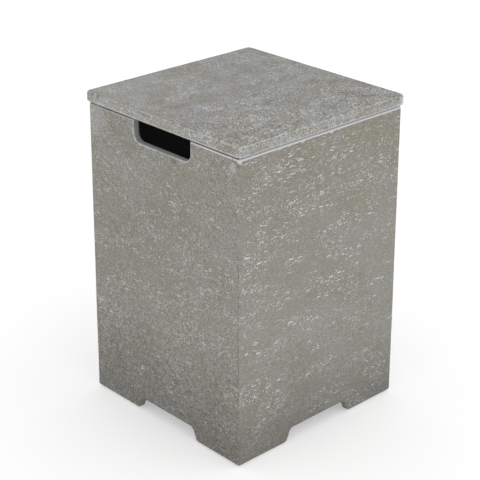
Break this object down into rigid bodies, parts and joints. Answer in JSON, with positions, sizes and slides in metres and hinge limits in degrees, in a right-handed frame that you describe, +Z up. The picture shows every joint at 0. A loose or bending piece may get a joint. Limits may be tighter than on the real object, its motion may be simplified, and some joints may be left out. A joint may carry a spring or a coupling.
{
  "type": "propane tank cover table",
  "caption": "Square hollow concrete cover for a gas cylinder, with handholds, corner feet and a loose slab on top that serves as a side table.",
  "frame": {"origin": "on the ground, in the middle of the plan", "axes": "+Z up; +X to the right and -X to the left, the two walls with handholds; -Y to the front"},
  "size_m": [0.4, 0.4, 0.598],
  "materials": {
    "cast_concrete": "matt, mottled, glass-fibre concrete with pale marks",
    "black_rubber": "matt",
    "zinc_steel": "zinc plated",
    "brass": "dull"
  },
  "bodies": {
    "body": {"body_shell": "cast_concrete", "foot_pad_front_left": "black_rubber", "foot_pad_front_right": "black_rubber", "foot_pad_back_right": "black_rubber", "foot_pad_back_left": "black_rubber"},
    "lid": {"lid_slab": "cast_concrete", "lid_pad_front_left": "black_rubber", "lid_pad_front_right": "black_rubber", "lid_pad_back_right": "black_rubber", "lid_pad_back_left": "black_rubber", "lid_locator_front_left": "black_rubber", "lid_locator_front_right": "black_rubber", "lid_locator_back_right": "black_rubber", "lid_locator_back_left": "black_rubber", "locator_screw_front_left": "zinc_steel", "locator_screw_front_right": "zinc_steel", "locator_screw_back_right": "zinc_steel", "locator_screw_back_left": "zinc_steel", "lid_insert_front_left": "brass", "lid_insert_front_right": "brass", "lid_insert_back_right": "brass", "lid_insert_back_left": "brass"}
  },
  "joints": [
    {"name": "lid_lift", "type": "slide", "parent": "body", "child": "lid", "axis": [0, 0, 1], "range_m": [0, 0.3]}
  ]
}
